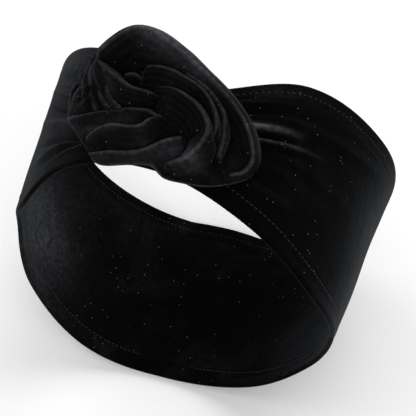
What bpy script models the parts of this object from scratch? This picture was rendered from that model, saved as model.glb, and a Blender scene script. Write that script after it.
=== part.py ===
"""Wire headband of black velvet: a wide loop with a wired casing along each rim and a twisted rosette.

The loop lies on its back. Its axis runs along Y with the near rim at -Y, the rosette sits on top, and the
back is pressed flat where it rests. Angles go round the loop from +X over the top. The origin is at the
middle of the flat tread. Metres, +Z up.
"""

import math

import bpy
import numpy as np

# Driving sizes
LOOP_RADIUS = 0.089
BAND_WIDTH = 0.093
CLOTH_WALL = 0.0024
CASING_WIDTH = 0.009
CASING_THICKNESS = 0.0032
CASING_EDGE_RADIUS = 0.0013
PLEAT_HEIGHT = 0.0030
PLEAT_HALF_WIDTH = 0.0065
ROSETTE_HALF_LENGTH = 0.046
ROSETTE_HALF_DEPTH = 0.034
ROSETTE_HEIGHT = 0.036
ROSETTE_LIP = 0.003
TAIL_SLOPE = 0.35
CREVICE_DEPTH = 0.0008
CREVICE_SPREAD = 0.0020
PIECE_GAP = 0.00035

# Places of the rosette and the tread: degrees round the loop, and shares of the band's width and loop's radius
ROSETTE_ANGLE = 94.0
ROSETTE_OFFSET = -0.129
TREAD_SHARE = 0.925

# Sections of the band, one each 30 degrees from +X over the top. Radii are shares of the loop's radius at the
# near rim, the middle and the far rim, and edges are shares of the band's width.
SECTIONS = (
    # near_r, middle_r, far_r, near_edge, far_edge
    (0.925, 0.93, 0.95, -0.46, 0.515),
    (1.005, 1.01, 1.03, -0.575, 0.42),
    (1.005, 1.03, 1.04, -0.50, 0.34),
    (1.00, 1.01, 0.97, -0.425, 0.10),
    (0.94, 0.97, 0.97, -0.42, 0.30),
    (0.85, 0.915, 0.985, -0.46, 0.46),
    (0.865, 0.93, 0.945, -0.33, 0.495),
    (0.935, 0.95, 0.935, -0.40, 0.47),
    (0.96, 0.965, 0.95, -0.47, 0.515),
    (0.92, 0.955, 0.945, -0.46, 0.57),
    (0.92, 0.945, 0.92, -0.435, 0.54),
    (0.905, 0.925, 0.90, -0.41, 0.55),
)

# Pleats of the band, fanning out from under the rosette. Angles in degrees, places across the band from 0 at
# the near rim to 1 at the far rim, and heights as shares of the pleat height.
PLEATS = (
    # start_angle, start_across, end_angle, end_across, height
    (82, 0.80, 40, 0.84, 0.55),
    (80, 0.60, 50, 0.78, 1.30),
    (78, 0.49, 28, 0.79, 1.15),
    (56, 0.72, 4, 0.90, 0.55),
    (78, 0.36, 30, 0.39, 0.45),
    (78, 0.15, 42, 0.25, 0.80),
    (108, 0.20, 166, 0.64, 1.40),
    (108, 0.12, 156, 0.26, 0.90),
    (110, 0.40, 166, 0.86, 1.00),
)

# Outline of the rosette: the share of its half sizes that it reaches, by angle in its own plan
OUTLINE = (
    # angle, reach
    (0, 0.93),
    (22, 0.76),
    (48, 0.62),
    (75, 0.68),
    (95, 0.81),
    (118, 0.95),
    (138, 0.98),
    (152, 1.07),
    (164, 1.13),
    (176, 1.08),
    (188, 1.00),
    (206, 0.90),
    (226, 0.89),
    (246, 0.97),
    (264, 0.86),
    (278, 0.83),
    (286, 0.97),
    (296, 1.02),
    (308, 1.06),
    (322, 1.07),
    (340, 1.05),
)

# Face of the rosette between its folds: height by depth, as shares, rising from the near rim to the far one
FACE = (
    # depth, height
    (-1.0, 0.05),
    (-0.8, 0.08),
    (-0.5, 0.14),
    (-0.2, 0.20),
    (0.1, 0.27),
    (0.35, 0.38),
    (0.6, 0.58),
    (1.0, 0.70),
)

# Ridges of the rosette. Each crest runs through its points, given as shares of the half length, the half depth
# and the height. It rounds over and falls away by its own slope to the left and to the right.
RIDGES = (
    # name, left_slope, right_slope, left_rounding, right_rounding, flank, points (p, q, height)
    ("outer_roll", 1.7, 2.4, 0.0080, 0.0040, 0.0070, (
        (-0.61, 0.03, 0.58), (-0.60, 0.12, 0.68), (-0.55, 0.22, 0.79), (-0.46, 0.32, 0.89), (-0.37, 0.41, 0.97),
        (-0.28, 0.49, 1.03), (-0.20, 0.53, 1.05), (-0.10, 0.51, 1.03), (0.02, 0.43, 0.97), (0.15, 0.35, 0.90),
        (0.29, 0.26, 0.81), (0.43, 0.18, 0.71), (0.58, 0.09, 0.59), (0.73, -0.02, 0.47), (0.84, -0.16, 0.36),
        (0.91, -0.30, 0.26), (0.89, -0.46, 0.18), (0.80, -0.58, 0.13))),
    ("right_fold", 1.5, 1.2, 0.0020, 0.0020, 0.0070, (
        (0.20, 0.22, 0.73), (0.34, 0.15, 0.69), (0.45, 0.06, 0.61), (0.54, -0.04, 0.52), (0.59, -0.18, 0.42),
        (0.62, -0.34, 0.33), (0.64, -0.47, 0.24))),
    ("middle_swirl", 1.7, 1.2, 0.0020, 0.0020, 0.0070, (
        (-0.12, 0.25, 0.66), (-0.01, 0.24, 0.70), (0.11, 0.19, 0.73), (0.21, 0.15, 0.73), (0.32, 0.11, 0.69),
        (0.40, 0.03, 0.64), (0.47, -0.09, 0.58), (0.52, -0.21, 0.52), (0.53, -0.32, 0.46), (0.51, -0.43, 0.40))),
    ("inner_swirl", 1.7, 1.5, 0.0020, 0.0030, 0.0070, (
        (-0.02, 0.11, 0.55), (0.07, 0.07, 0.60), (0.17, -0.01, 0.64), (0.27, -0.10, 0.66), (0.34, -0.16, 0.66),
        (0.41, -0.24, 0.64), (0.46, -0.32, 0.60), (0.49, -0.40, 0.54), (0.48, -0.53, 0.48), (0.45, -0.65, 0.43),
        (0.39, -0.76, 0.36), (0.29, -0.82, 0.28))),
    ("upper_leaf", 1.7, 1.2, 0.0020, 0.0020, 0.0070, (
        (-0.54, 0.25, 0.80), (-0.46, 0.13, 0.78), (-0.37, 0.03, 0.74), (-0.27, -0.06, 0.69), (-0.19, -0.09, 0.63),
        (-0.11, -0.07, 0.57), (-0.04, -0.03, 0.51), (0.00, 0.02, 0.45))),
    ("hollow_lip", 1.4, 1.4, 0.0020, 0.0020, 0.0060, (
        (-0.29, 0.13, 0.60), (-0.23, 0.18, 0.57), (-0.16, 0.17, 0.54), (-0.10, 0.10, 0.50), (-0.03, 0.05, 0.45))),
    ("hollow_fold", 1.2, 1.4, 0.0020, 0.0020, 0.0050, (
        (-0.17, 0.44, 0.60), (-0.16, 0.32, 0.58), (-0.15, 0.21, 0.56))),
    ("upper_lobe", 1.2, 1.4, 0.0030, 0.0030, 0.0060, (
        (-0.80, 0.56, 0.56), (-0.88, 0.41, 0.50), (-0.84, 0.26, 0.42))),
    ("lower_lobe", 1.2, 1.4, 0.0030, 0.0030, 0.0060, (
        (-0.92, 0.25, 0.42), (-0.98, 0.15, 0.38), (-0.95, -0.06, 0.34))),
    ("left_fold_outer", 1.4, 1.4, 0.0020, 0.0020, 0.0060, (
        (-0.67, 0.56, 0.62), (-0.71, 0.40, 0.60), (-0.71, 0.19, 0.55), (-0.64, -0.02, 0.50),
        (-0.53, -0.24, 0.44))),
    ("left_fold_middle", 1.4, 1.4, 0.0020, 0.0020, 0.0060, (
        (-0.59, 0.18, 0.66), (-0.54, 0.02, 0.60), (-0.46, -0.15, 0.54), (-0.36, -0.28, 0.48))),
    ("left_fold_inner", 1.4, 1.4, 0.0020, 0.0020, 0.0060, (
        (-0.48, 0.17, 0.74), (-0.41, -0.06, 0.64), (-0.35, -0.20, 0.56), (-0.26, -0.30, 0.50))),
    ("middle_leaf", 1.6, 1.3, 0.0020, 0.0025, 0.0070, (
        (-1.00, -0.14, 0.30), (-0.90, -0.21, 0.34), (-0.68, -0.29, 0.38), (-0.45, -0.32, 0.43),
        (-0.25, -0.32, 0.48), (-0.10, -0.33, 0.51), (0.01, -0.31, 0.50), (0.07, -0.29, 0.46))),
    ("lower_leaf", 1.5, 1.4, 0.0025, 0.0030, 0.0070, (
        (-0.66, -0.56, 0.18), (-0.59, -0.55, 0.26), (-0.45, -0.54, 0.34), (-0.30, -0.52, 0.40),
        (-0.14, -0.56, 0.44), (-0.02, -0.53, 0.47), (0.02, -0.41, 0.48), (0.05, -0.31, 0.47))),
    ("rim_fold", 1.4, 1.2, 0.0030, 0.0030, 0.0070, (
        (-0.75, -0.66, 0.06), (-0.63, -0.72, 0.14), (-0.37, -0.80, 0.22), (-0.08, -0.79, 0.30),
        (0.09, -0.71, 0.35), (0.22, -0.59, 0.38), (0.29, -0.51, 0.36))),
)

# Where the rosette's heart ends and its wraps begin: reach from the heart's middle, as a share, by angle
HEART_MIDDLE = (0.16, -0.26)
HEART_REACH = (
    # angle, reach
    (0, 0.335),
    (45, 0.345),
    (85, 0.37),
    (115, 0.41),
    (140, 0.34),
    (180, 0.22),
    (225, 0.24),
    (270, 0.25),
    (315, 0.30),
)

# Seams between the wraps, each in the crevice beside a crest. It leaves the heart at an inner angle, meets the
# outline at an outer angle, both about the heart's middle, and bows by a share of the half depth.
SEAMS = (
    # inner_angle, outer_angle, bow
    (-8, -62, 0.0),
    (135, 141, 0.0),
    (190, 174, -0.09),
    (352, 298, 0.0),
)

# The wraps round the heart, each from one seam to the next
WRAPS = ("outer_petal", "left_folds", "lower_petal")

# Counts of faces
BAND_COLUMNS = 60
BAND_ROWS = 12
TOP_CROWDING = 0.35
RUNS_PER_POINT = 2
HEART_COLUMNS = 36
HEART_ROWS = 9
WRAP_STEP = 3.5
WRAP_SHARES = (0.0, 0.10, 0.20, 0.30, 0.40, 0.50, 0.60, 0.70, 0.80, 0.88, 0.95, 1.0)

VELVET = (0.012, 0.012, 0.013, 1.0)

CENTRE_HEIGHT = TREAD_SHARE * LOOP_RADIUS + CLOTH_WALL / 2
EDGE_SHARPNESS = 7
PLEAT_FADE = 0.7
PLEAT_ONSET = 0.25
PLEAT_SHARPNESS = 1.3
SEAT_REACH = 0.004
SEAT_STEPS = (-1, -0.5, 0, 0.5, 1)
TINY = 1e-12
FARTHEST = 9.0
HALVINGS = 40


def periodic(column, angle):
    """A column of the sections, smoothly between them, at angles in degrees."""
    values = np.array([row[column] for row in SECTIONS])
    place = (np.asarray(angle, float) % 360) / 360 * len(SECTIONS)
    index = np.floor(place).astype(int)
    f = place - index
    a, b, c, d = (values[(index + step) % len(SECTIONS)] for step in (-1, 0, 1, 2))
    return b + 0.5 * f * (c - a + f * (2 * a - 5 * b + 4 * c - d + f * (3 * (b - c) + d - a)))


def by_angle(rows, angle):
    """A reach read from a table of angles, smoothly round the full turn."""
    turn = np.array([row[0] for row in rows], float)
    reach = np.array([row[1] for row in rows])
    turn = np.concatenate([turn[-2:] - 360, turn, turn[:2] + 360])
    reach = np.concatenate([reach[-2:], reach, reach[:2]])
    angle = np.asarray(angle, float) % 360
    index = np.clip(np.searchsorted(turn, angle, side="right") - 1, 1, len(turn) - 3)
    span = turn[index + 1] - turn[index]
    f = (angle - turn[index]) / span
    rise_in = (reach[index + 1] - reach[index - 1]) / (turn[index + 1] - turn[index - 1]) * span
    rise_out = (reach[index + 2] - reach[index]) / (turn[index + 2] - turn[index]) * span
    low, high = reach[index], reach[index + 1]
    return (
        low * (1 + 2 * f) * (1 - f) ** 2
        + rise_in * f * (1 - f) ** 2
        + high * f * f * (3 - 2 * f)
        + rise_out * f * f * (f - 1)
    )


def smooth_step(x):
    x = np.clip(x, 0, 1)
    return x * x * (3 - 2 * x)


def edges(angle):
    """Where the near and far rims lie along Y."""
    return periodic(3, angle) * BAND_WIDTH, periodic(4, angle) * BAND_WIDTH


def pleat_lift(angle, across):
    """How far the cloth stands out where a pleat runs."""
    near, far = edges(angle)
    lift = np.zeros(np.broadcast(angle, across).shape)
    for start_angle, start_across, end_angle, end_across, height in PLEATS:
        along = (angle - start_angle) / (end_angle - start_angle)
        middle = start_across + (end_across - start_across) * np.clip(along, 0, 1)
        offset = (across - middle) * (far - near) / PLEAT_HALF_WIDTH
        fade = smooth_step((1 - along) / PLEAT_FADE) * smooth_step(1 + along / PLEAT_ONSET)
        lift = np.maximum(lift, height * fade * np.clip(1 - np.abs(offset), 0, 1) ** PLEAT_SHARPNESS)
    rim_distance = np.minimum(across, 1 - across) * (far - near)
    return PLEAT_HEIGHT * lift * smooth_step((rim_distance - CASING_WIDTH) / PLEAT_HALF_WIDTH + 0.5)


def cloth_radius(angle, across):
    """Radius of the middle of the cloth."""
    near, middle, far = (periodic(column, angle) for column in range(3))
    share = near * (2 * across - 1) * (across - 1)
    share = share + middle * 4 * across * (1 - across)
    share = share + far * across * (2 * across - 1)
    return share * LOOP_RADIUS + pleat_lift(angle, across)


def loop_point(angle, radius, along_y, above_floor=0.0):
    """A point of the loop, pressed flat where it would reach below the floor."""
    turn = np.radians(angle)
    height = CENTRE_HEIGHT + radius * np.sin(turn)
    return np.stack(np.broadcast_arrays(radius * np.cos(turn), along_y, np.maximum(height, above_floor)), -1)


def band_angles():
    """Angles of the band's columns, closest together under the rosette."""
    turn = np.arange(BAND_COLUMNS) * 2 * math.pi / BAND_COLUMNS
    return np.degrees(turn - TOP_CROWDING * np.sin(turn - math.radians(ROSETTE_ANGLE)))


def add_solid(name, points, faces, colour):
    mesh = bpy.data.meshes.new(name)
    mesh.from_pydata([tuple(map(float, point)) for point in points], [], faces)
    mesh.shade_smooth()
    mesh.set_sharp_from_angle(angle=math.radians(50))
    material = bpy.data.materials.new(name)
    material.use_nodes = True
    shader = material.node_tree.nodes["Principled BSDF"]
    shader.inputs["Base Color"].default_value = colour
    shader.inputs["Roughness"].default_value = 0.9
    shader.inputs["Metallic"].default_value = 0.0
    shader.inputs["Sheen Weight"].default_value = 0.6
    mesh.materials.append(material)
    solid = bpy.data.objects.new(name, mesh)
    bpy.context.collection.objects.link(solid)
    return solid


def swept_ring(profiles):
    """Points and faces of a closed ring swept through a stack of closed profiles."""
    columns, corners = profiles.shape[:2]
    faces = []
    for column in range(columns):
        after = (column + 1) % columns
        for corner in range(corners):
            other = (corner + 1) % corners
            faces.append(
                (
                    column * corners + corner,
                    column * corners + other,
                    after * corners + other,
                    after * corners + corner,
                )
            )
    return profiles.reshape(-1, 3), faces


def make_band():
    angle = band_angles()[:, None]
    near, far = edges(angle)
    margin = (CASING_WIDTH + PIECE_GAP) / (far - near)
    across = margin + (1 - 2 * margin) * np.linspace(0, 1, BAND_ROWS + 1)[None, :]
    radius = cloth_radius(angle, across)
    along_y = near + (far - near) * across
    outer = loop_point(angle, radius + CLOTH_WALL / 2, along_y)
    inner = loop_point(angle, radius - CLOTH_WALL / 2, along_y, CLOTH_WALL)
    points, faces = swept_ring(np.concatenate([outer, inner[:, ::-1]], axis=1))
    return add_solid("band", points, faces, VELVET)


def make_casing(name, side):
    """The rolled casing along one rim; side is 0 for the near rim and 1 for the far one."""
    half = CASING_THICKNESS / 2
    cut = CASING_EDGE_RADIUS
    profile = (
        # distance in from the rim, distance out from the cloth's middle
        (CASING_WIDTH, -half),
        (CASING_WIDTH, half),
        (cut, half),
        (cut * 0.3, half - cut * 0.3),
        (0.0, half - cut),
        (0.0, cut - half),
        (cut * 0.3, cut * 0.3 - half),
        (cut, -half),
    )
    angle = band_angles()
    near, far = edges(angle)
    corners = []
    for inward, outward in profile:
        across = inward / (far - near)
        if side:
            across = 1 - across
        radius = cloth_radius(angle, across) + outward
        along_y = near + (far - near) * across
        corners.append(loop_point(angle, radius, along_y, half - outward))
    rings = np.stack(corners, axis=1)
    if side == 0:
        rings = rings[:, ::-1]
    points, faces = swept_ring(rings)
    return add_solid(name, points, faces, VELVET)


def rosette_frame(p, q):
    """Angle round the loop and place along Y of a point in the rosette's plan."""
    angle = ROSETTE_ANGLE - np.degrees(p / LOOP_RADIUS)
    return angle, ROSETTE_OFFSET * BAND_WIDTH + q


def seats(p, q):
    """Highest and mean radius of the band and its casings over a small patch round each point of the plan."""
    highest = np.zeros(np.broadcast(p, q).shape)
    total = np.zeros(highest.shape)
    for step_p in SEAT_STEPS:
        for step_q in SEAT_STEPS:
            angle, along_y = rosette_frame(p + step_p * SEAT_REACH, q + step_q * SEAT_REACH)
            near, far = edges(angle)
            across = np.clip((along_y - near) / (far - near), 0, 1)
            rim_distance = np.minimum(across, 1 - across) * (far - near)
            cover = np.where(rim_distance < CASING_WIDTH + PIECE_GAP, CASING_THICKNESS, CLOTH_WALL) / 2
            radius = cloth_radius(angle, across) + cover
            highest = np.maximum(highest, radius)
            total += radius
    return highest + PIECE_GAP, total / len(SEAT_STEPS) ** 2 + PIECE_GAP


def seat_radius(p, q):
    return seats(p, q)[0]


def smooth_path(points):
    """A smooth line through points, in short straight runs."""
    points = np.array(points)
    ends = np.concatenate([2 * points[:1] - points[1:2], points, 2 * points[-1:] - points[-2:-1]])
    a, b, c, d = (ends[step : step + len(points) - 1, None] for step in range(4))
    f = np.arange(RUNS_PER_POINT)[None, :, None] / RUNS_PER_POINT
    path = b + 0.5 * f * (c - a + f * (2 * a - 5 * b + 4 * c - d + f * (3 * (b - c) + d - a)))
    return np.concatenate([path.reshape(-1, points.shape[1]), points[-1:]])


def ridge_height(ridge, p, q):
    """Height of one ridge over the plan: its crest's height, less its fall to either side."""
    _, left_slope, right_slope, left_rounding, right_rounding, flank, points = ridge
    path = smooth_path(points) * (ROSETTE_HALF_LENGTH, ROSETTE_HALF_DEPTH, ROSETTE_HEIGHT)
    start = path[:-1, :2]
    run = path[1:, :2] - start
    to_p = p[..., None] - start[:, 0]
    to_q = q[..., None] - start[:, 1]
    share = np.clip((to_p * run[:, 0] + to_q * run[:, 1]) / (run**2).sum(1), 0, 1)
    off_p = to_p - share * run[:, 0]
    off_q = to_q - share * run[:, 1]
    distance = np.hypot(off_p, off_q)
    lean = (run[:, 0] * off_q - run[:, 1] * off_p) / (np.hypot(run[:, 0], run[:, 1]) * distance + TINY)
    crest = path[:-1, 2] + share * np.diff(path[:, 2])
    nearest = distance.argmin(-1)[..., None]
    distance, lean, crest = (np.take_along_axis(each, nearest, -1)[..., 0] for each in (distance, lean, crest))
    slope = (left_slope + right_slope) / 2 + (left_slope - right_slope) / 2 * lean
    rounding = (left_rounding + right_rounding) / 2 + (left_rounding - right_rounding) / 2 * lean
    fall = np.hypot(distance, rounding) - rounding
    return crest - slope * flank * (1 - np.exp(-fall / flank)) - TAIL_SLOPE * fall


def rosette_height(p, q):
    """Height of the folded face over the middle of the cloth, sunk where one ridge meets the next."""
    depths, heights = zip(*FACE)
    highest = np.interp(q / ROSETTE_HALF_DEPTH, depths, heights) * ROSETTE_HEIGHT
    second = np.full(highest.shape, -1.0)
    for ridge in RIDGES:
        height = ridge_height(ridge, p, q)
        second = np.maximum(second, np.minimum(highest, height))
        highest = np.maximum(highest, height)
    return highest - CREVICE_DEPTH * np.exp((second - highest) / CREVICE_SPREAD)


def outline_share(p, q):
    """How far out towards the rosette's outline a point lies, 1 on the outline."""
    share_p = p / ROSETTE_HALF_LENGTH
    share_q = q / ROSETTE_HALF_DEPTH
    return np.hypot(share_p, share_q) / by_angle(OUTLINE, np.degrees(np.arctan2(share_q, share_p)))


def top_radius(p, q):
    """Radius of the rosette's outer face, which drops to a thin lip at its outline."""
    angle, _ = rosette_frame(p, q)
    lip = seats(p, q)[1] + ROSETTE_LIP
    full = np.maximum(cloth_middle(angle) + rosette_height(p, q), lip)
    share = np.clip(outline_share(p, q), 0, 1)
    edge = np.sqrt(1 - share**EDGE_SHARPNESS)
    return lip + (full - lip) * edge


def cloth_middle(angle):
    """Radius of the cloth halfway across the band, without pleats."""
    return periodic(1, angle) * LOOP_RADIUS


def heart_edge(angle):
    """A point on the seam round the heart, in the rosette's plan, at an angle about the heart's middle."""
    turn = np.radians(angle)
    reach = by_angle(HEART_REACH, angle)
    p = (HEART_MIDDLE[0] + reach * np.cos(turn)) * ROSETTE_HALF_LENGTH
    q = (HEART_MIDDLE[1] + reach * np.sin(turn)) * ROSETTE_HALF_DEPTH
    return np.stack([p, q], -1)


def outline_edge(angle):
    """The point of the outline straight out from the heart's middle, by halving the way."""
    middle = np.array(HEART_MIDDLE) * (ROSETTE_HALF_LENGTH, ROSETTE_HALF_DEPTH)
    way = heart_edge(angle) - middle
    low = np.zeros(len(angle))
    high = np.full(len(angle), FARTHEST)
    for _ in range(HALVINGS):
        trial = (low + high) / 2
        point = middle + way * trial[:, None]
        inside = outline_share(point[:, 0], point[:, 1]) < 1
        low = np.where(inside, trial, low)
        high = np.where(inside, high, trial)
    return middle + way * low[:, None]


def rosette_points(plan, radius):
    angle, along_y = rosette_frame(plan[..., 0], plan[..., 1])
    return loop_point(angle, radius, along_y)


def make_heart():
    """The inner swirl, a closed form inside the seam."""
    angle = np.arange(HEART_COLUMNS) * 360 / HEART_COLUMNS
    middle = np.array(HEART_MIDDLE) * (ROSETTE_HALF_LENGTH, ROSETTE_HALF_DEPTH)
    way = heart_edge(angle) - middle
    way = way * (1 - PIECE_GAP / 2 / np.linalg.norm(way, axis=1, keepdims=True))
    shares = np.arange(1, HEART_ROWS + 1) / HEART_ROWS
    plan = middle + way[None, :, :] * shares[:, None, None]
    top = rosette_points(plan, top_radius(plan[..., 0], plan[..., 1]))
    seat = rosette_points(plan, seat_radius(plan[..., 0], plan[..., 1]))
    points = np.concatenate([top.reshape(-1, 3), seat.reshape(-1, 3)])
    centre = middle[None, :]
    centre_top = rosette_points(centre, top_radius(centre[:, 0], centre[:, 1]))
    centre_seat = rosette_points(centre, seat_radius(centre[:, 0], centre[:, 1]))
    points = np.concatenate([points, centre_top, centre_seat])
    layer = HEART_ROWS * HEART_COLUMNS
    faces = []
    for column in range(HEART_COLUMNS):
        after = (column + 1) % HEART_COLUMNS
        faces.append((2 * layer, column, after))
        faces.append((2 * layer + 1, layer + after, layer + column))
        for row in range(HEART_ROWS - 1):
            inner, outer = row * HEART_COLUMNS, (row + 1) * HEART_COLUMNS
            faces.append((inner + column, outer + column, outer + after, inner + after))
            faces.append(
                (layer + inner + after, layer + outer + after, layer + outer + column, layer + inner + column)
            )
        rim = (HEART_ROWS - 1) * HEART_COLUMNS
        faces.append((rim + column, layer + rim + column, layer + rim + after, rim + after))
    return add_solid("rosette_heart", points, faces, VELVET)


def wrap_plan(first, last, columns, shares):
    """Plan of a wrap from the heart's seam out to the outline, drawn in by half the gap at its inner sides."""
    across = np.linspace(0, 1, columns)
    inner_angle, outer_angle, bow = (low + (high - low) * across for low, high in zip(first, last))
    inner = heart_edge(inner_angle)
    outer = outline_edge(outer_angle)
    share = np.asarray(shares)[:, None, None]
    plan = inner + (outer - inner) * share
    plan[..., 1] += bow * np.sin(math.pi * share[..., 0]) * ROSETTE_HALF_DEPTH
    way = (outer - inner) / np.linalg.norm(outer - inner, axis=1, keepdims=True)
    aside = np.stack([-way[:, 1], way[:, 0]], -1)
    return plan + (aside * (1 - 2 * across)[:, None] + way * (1 - share)) * PIECE_GAP / 2


def make_wrap(name, first, last):
    """One wrap of the rosette: its folded face, its seat on the band and the walls between them."""
    columns = round((last[0] - first[0] + last[1] - first[1]) / 2 / WRAP_STEP) + 1
    plan = wrap_plan(first, last, columns, WRAP_SHARES)
    top = rosette_points(plan, top_radius(plan[..., 0], plan[..., 1]))
    seat = rosette_points(plan, seat_radius(plan[..., 0], plan[..., 1]))
    rows = len(WRAP_SHARES)
    points = np.concatenate([top.reshape(-1, 3), seat.reshape(-1, 3)])
    faces = []
    under = rows * columns
    for row in range(rows - 1):
        for column in range(columns - 1):
            a = row * columns + column
            b = a + columns
            faces.append((a, b, b + 1, a + 1))
            faces.append((under + a + 1, under + b + 1, under + b, under + a))
    for column in range(columns - 1):
        a = column
        b = (rows - 1) * columns + column
        faces.append((a + 1, under + a + 1, under + a, a))
        faces.append((b, under + b, under + b + 1, b + 1))
    for row in range(rows - 1):
        a = row * columns
        b = a + columns
        faces.append((a, under + a, under + b, b))
        a += columns - 1
        b += columns - 1
        faces.append((b, under + b, under + a, a))
    return add_solid(name, points, faces, VELVET)


def build():
    for old in list(bpy.data.objects):
        bpy.data.objects.remove(old, do_unlink=True)
    make_band()
    make_casing("near_hem", 0)
    make_casing("far_hem", 1)
    make_heart()
    for name, first, last in zip(WRAPS, SEAMS, SEAMS[1:]):
        make_wrap(name, first, last)


build()
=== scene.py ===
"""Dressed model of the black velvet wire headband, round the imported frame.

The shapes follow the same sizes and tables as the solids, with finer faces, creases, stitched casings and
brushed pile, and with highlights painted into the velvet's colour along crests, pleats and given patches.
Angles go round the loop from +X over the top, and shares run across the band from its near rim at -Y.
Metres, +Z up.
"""

import math

import bpy
import numpy as np
from mathutils import Matrix, Vector


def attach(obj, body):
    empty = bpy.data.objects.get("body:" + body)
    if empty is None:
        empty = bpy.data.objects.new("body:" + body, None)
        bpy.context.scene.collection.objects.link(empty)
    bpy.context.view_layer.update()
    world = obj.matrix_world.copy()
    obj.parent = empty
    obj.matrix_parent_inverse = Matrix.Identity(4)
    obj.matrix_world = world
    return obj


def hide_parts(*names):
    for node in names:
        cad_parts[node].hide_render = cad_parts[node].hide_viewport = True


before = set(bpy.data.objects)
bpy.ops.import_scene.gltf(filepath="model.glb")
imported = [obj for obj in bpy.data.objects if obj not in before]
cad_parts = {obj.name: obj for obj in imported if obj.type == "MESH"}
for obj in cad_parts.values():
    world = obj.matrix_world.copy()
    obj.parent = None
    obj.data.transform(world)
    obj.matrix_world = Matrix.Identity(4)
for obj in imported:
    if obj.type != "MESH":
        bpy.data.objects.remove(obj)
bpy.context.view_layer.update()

# Driving sizes, as in the solids
LOOP_RADIUS = 0.089
BAND_WIDTH = 0.093
CLOTH_WALL = 0.0024
CASING_WIDTH = 0.009
CASING_THICKNESS = 0.0032
PLEAT_HEIGHT = 0.0030
ROSETTE_HALF_LENGTH = 0.046
ROSETTE_HALF_DEPTH = 0.034
ROSETTE_HEIGHT = 0.036
ROSETTE_LIP = 0.003
TAIL_SLOPE = 0.35
CREVICE_SPREAD = 0.0020
PIECE_GAP = 0.00035
ROSETTE_ANGLE = 94.0
ROSETTE_OFFSET = -0.129
TREAD_SHARE = 0.925
CENTRE_HEIGHT = TREAD_SHARE * LOOP_RADIUS + CLOTH_WALL / 2

# Sizes of the cloth that the solids leave out: flatter casings, deeper crevices, fine ripples, close seams.
# The band's edge thins and runs a little way into each casing, so that no light passes between them.
ROLL_THICKNESS = 0.0024
PLEAT_REACH = 0.0065
CREVICE_DEPTH = 0.0025
RIPPLE_LENGTH = 0.0016
SEAM_GAP = 0.0001
SEAM_TUCK = 0.0006
TUCK_HALF_WALL = 0.0006

# Sections of the band, one each 30 degrees from +X over the top: radii as shares of the loop's radius, and
# edges as shares of the band's width
SECTIONS = (
    # near_r, middle_r, far_r, near_edge, far_edge
    (0.925, 0.93, 0.95, -0.46, 0.515),
    (1.005, 1.01, 1.03, -0.575, 0.42),
    (1.005, 1.03, 1.04, -0.50, 0.34),
    (1.00, 1.01, 0.97, -0.425, 0.10),
    (0.94, 0.97, 0.97, -0.42, 0.30),
    (0.85, 0.915, 0.985, -0.46, 0.46),
    (0.865, 0.93, 0.945, -0.33, 0.495),
    (0.935, 0.95, 0.935, -0.40, 0.47),
    (0.96, 0.965, 0.95, -0.47, 0.515),
    (0.92, 0.955, 0.945, -0.46, 0.57),
    (0.92, 0.945, 0.92, -0.435, 0.54),
    (0.905, 0.925, 0.90, -0.41, 0.55),
)

# Pleats of the band, fanning out from under the rosette. Each is a soft fold with its half width in metres.
# Heights are shares of the pleat height, a negative one is a crease, and shine is how strong a highlight is
# painted into the colour beside its crest.
PLEATS = (
    # start_angle, start_across, end_angle, end_across, height, half_width, shine
    (82, 0.80, 46, 0.84, 0.35, 0.0042, 0.0),
    (80, 0.55, 54, 0.67, 1.30, 0.0052, 1.8),
    (78, 0.46, 46, 0.63, 1.00, 0.0028, 1.1),
    (56, 0.72, 12, 0.88, 0.30, 0.0060, 0.0),
    (78, 0.36, 34, 0.39, 0.25, 0.0050, 0.0),
    (78, 0.15, 46, 0.24, 0.45, 0.0050, 0.0),
    (72, 0.46, 18, 0.54, 0.18, 0.0060, 0.0),
    (78, 0.50, 52, 0.61, -0.70, 0.0024, 0.0),
    (78, 0.41, 46, 0.57, -0.45, 0.0028, 0.0),
    (80, 0.70, 48, 0.80, -0.35, 0.0026, 0.0),
    (76, 0.26, 38, 0.29, -0.25, 0.0030, 0.0),
    (108, 0.20, 166, 0.64, 1.40, 0.0055, 0.25),
    (108, 0.12, 156, 0.26, 0.90, 0.0040, 0.0),
    (110, 0.40, 166, 0.86, 1.00, 0.0050, 0.0),
    (110, 0.31, 164, 0.75, -0.80, 0.0030, 0.0),
    (110, 0.16, 160, 0.42, -0.70, 0.0030, 0.0),
    (118, 0.66, 160, 0.90, -0.70, 0.0050, 0.0),
)

# Soft waves that the worn cloth keeps: places on the band and heights in metres
WAVES = (
    # angle, across, reach_angle, reach_across, height
    (20, 0.30, 14, 0.16, 0.0007),
    (8, 0.66, 12, 0.14, -0.0006),
    (350, 0.34, 15, 0.20, 0.0006),
    (332, 0.62, 18, 0.18, -0.0007),
    (300, 0.42, 22, 0.22, 0.0007),
    (262, 0.66, 20, 0.16, -0.0006),
    (236, 0.34, 16, 0.20, 0.0008),
    (212, 0.62, 15, 0.16, -0.0008),
    (196, 0.32, 12, 0.18, 0.0009),
    (172, 0.52, 12, 0.20, -0.0007),
)

# Highlights painted into the band's colour at these places, where it should look lit: face 1 is the outer one
# and -1 the inner one
BAND_PAINTED_HIGHLIGHTS = (
    # face, angle, across, reach_angle, reach_across, amount
    (-1, 198, 0.30, 17, 0.30, 0.66),
    (-1, 216, 0.20, 22, 0.40, 0.08),
    (-1, 236, 0.88, 30, 0.10, 0.05),
    (1, 146, 0.94, 15, 0.20, 0.34),
    (1, 128, 0.30, 14, 0.12, 0.14),
    (1, 60, 0.93, 20, 0.05, 0.05),
)

# The painted highlight of a pleat lies this far beside its crest, and is this much narrower than the pleat
SHINE_ASIDE = 0.1
SHINE_NARROW = 2.2
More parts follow.
